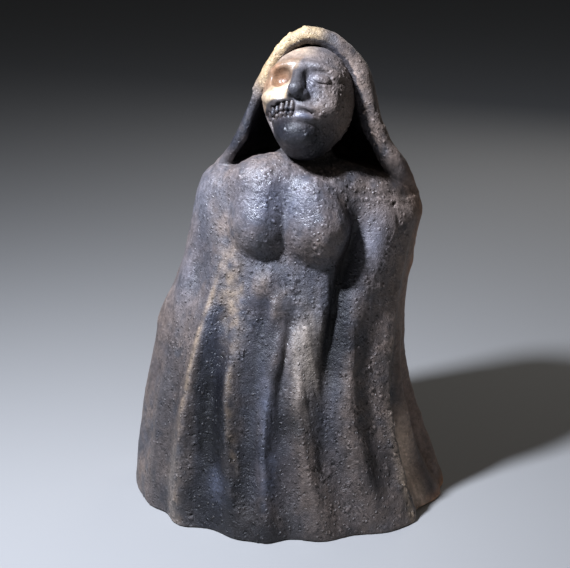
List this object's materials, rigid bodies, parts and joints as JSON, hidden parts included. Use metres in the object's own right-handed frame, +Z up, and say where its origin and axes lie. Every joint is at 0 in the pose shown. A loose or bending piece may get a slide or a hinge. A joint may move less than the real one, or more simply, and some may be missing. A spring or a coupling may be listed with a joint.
{
  "type": "papier-mache catrina figure",
  "caption": "Hooded, slab-built clay figure of a woman, half living and half skull, smoke-fired and standing on its open hem.",
  "frame": {"origin": "centre of the hem's outline, on the surface that the figure stands on", "axes": "+Z up, -Y towards the front of the figure, +X towards the figure's own left"},
  "size_m": [0.1582, 0.1357, 0.2278],
  "materials": {
    "smoked_clay": "rough, grogged, smoke-fired with blue-black fire clouds",
    "burnished_clay": "burnished satin, smoke-grey",
    "brown_clay": "smooth, matte, brown to orange",
    "tan_clay": "smooth, matte, tan with smoke specks",
    "bone_clay": "smooth, pale cream with orange shading",
    "raw_clay": "coarse, unburnished, inside"
  },
  "bodies": {
    "root": {"skirt_front": "smoked_clay", "cloak_right": "smoked_clay", "cloak_left": "brown_clay", "cloak_back_right": "brown_clay", "cloak_back_left": "brown_clay", "bodice": "smoked_clay", "breast_right": "burnished_clay", "breast_left": "burnished_clay", "shoulder_shelf": "burnished_clay", "neck": "smoked_clay", "head_core": "smoked_clay", "face_bone_half": "bone_clay", "face_living_half": "smoked_clay", "nose": "smoked_clay", "eyelid": "smoked_clay", "lips": "burnished_clay", "upper_teeth": "smoked_clay", "lower_teeth": "smoked_clay", "hood": "tan_clay", "hood_rim": "tan_clay", "seam_coils": "raw_clay", "waist_coil": "raw_clay", "hem_coil": "raw_clay"}
  },
  "joints": []
}
